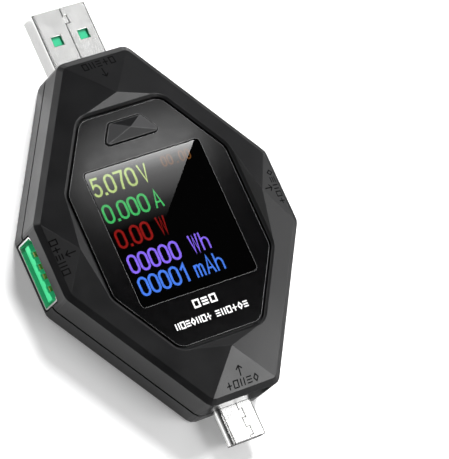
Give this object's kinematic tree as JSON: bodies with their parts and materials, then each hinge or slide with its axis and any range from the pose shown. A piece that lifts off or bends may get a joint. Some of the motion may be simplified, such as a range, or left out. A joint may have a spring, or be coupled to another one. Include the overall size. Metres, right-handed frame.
{
  "type": "usb power meter",
  "caption": "Handheld in-line USB tester: faceted octagonal case with a square screen, a push button, plugs at both ends and sockets at both sides.",
  "frame": {"origin": "middle of the whole footprint, at the height of the flat rear face", "axes": "+Z out of the screen, +Y towards the USB-A plug, -Y towards the USB-C plug, -X towards the USB-A socket, +X towards the USB-C socket"},
  "size_m": [0.052, 0.0896, 0.0132],
  "materials": {
    "case_black": "satin moulded, very fine grain",
    "button_black": "faceted, satin gloss",
    "panel_black": "mirror gloss",
    "window_clear": "polished",
    "display_dark": "polished",
    "metal_bright": "bright nickel plating",
    "plastic_green": "moulded",
    "contact_gold": "gold plated",
    "board_green": "solder mask",
    "chip_black": "moulded",
    "steel": "plated",
    "plastic_white": "moulded",
    "foam_grey": "foam",
    "flex_amber": "polyimide film",
    "ceramic_tan": "fired ceramic",
    "tantalum_yellow": "moulded"
  },
  "bodies": {
    "case": {"front_cover": "case_black", "rear_cover": "case_black", "screen_panel": "panel_black", "display_window": "window_clear", "lcd_glass": "display_dark", "lcd_top_polarizer": "display_dark", "usb_a_plug_shell": "metal_bright", "usb_a_socket_shell": "metal_bright", "usb_c_plug_shell": "metal_bright", "usb_c_socket_shell": "metal_bright", "usb_a_plug_insulator": "plastic_green", "usb_a_socket_tongue": "plastic_green", "usb_a_plug_contact_1": "contact_gold", "usb_a_plug_contact_2": "contact_gold", "usb_a_plug_contact_3": "contact_gold", "usb_a_plug_contact_4": "contact_gold", "usb_a_socket_contact_1": "contact_gold", "usb_a_socket_contact_2": "contact_gold", "usb_a_socket_contact_3": "contact_gold", "usb_a_socket_contact_4": "contact_gold", "main_board": "board_green", "controller_chip": "chip_black", "memory_chip": "chip_black", "voltage_regulator": "chip_black", "load_switch": "chip_black", "current_shunt": "chip_black", "lcd_connector": "chip_black", "switch_body": "chip_black", "usb_c_plug_liner": "chip_black", "usb_c_socket_tongue": "chip_black", "case_screw_1": "steel", "case_screw_2": "steel", "case_screw_3": "steel", "case_screw_4": "steel", "crystal": "steel", "lcd_frame": "plastic_white", "lcd_backlight": "plastic_white", "lcd_foam_pad": "foam_grey", "lcd_flex_cable": "flex_amber", "filter_capacitor_1": "ceramic_tan", "filter_capacitor_2": "ceramic_tan", "filter_capacitor_3": "tantalum_yellow"},
    "button": {"button_cap": "button_black", "switch_plunger": "plastic_white"}
  },
  "joints": [
    {"name": "button_press", "type": "slide", "parent": "case", "child": "button", "axis": [0, 0, -1], "range_m": [0, 0.0004], "stiffness_N_per_m": 1500}
  ]
}
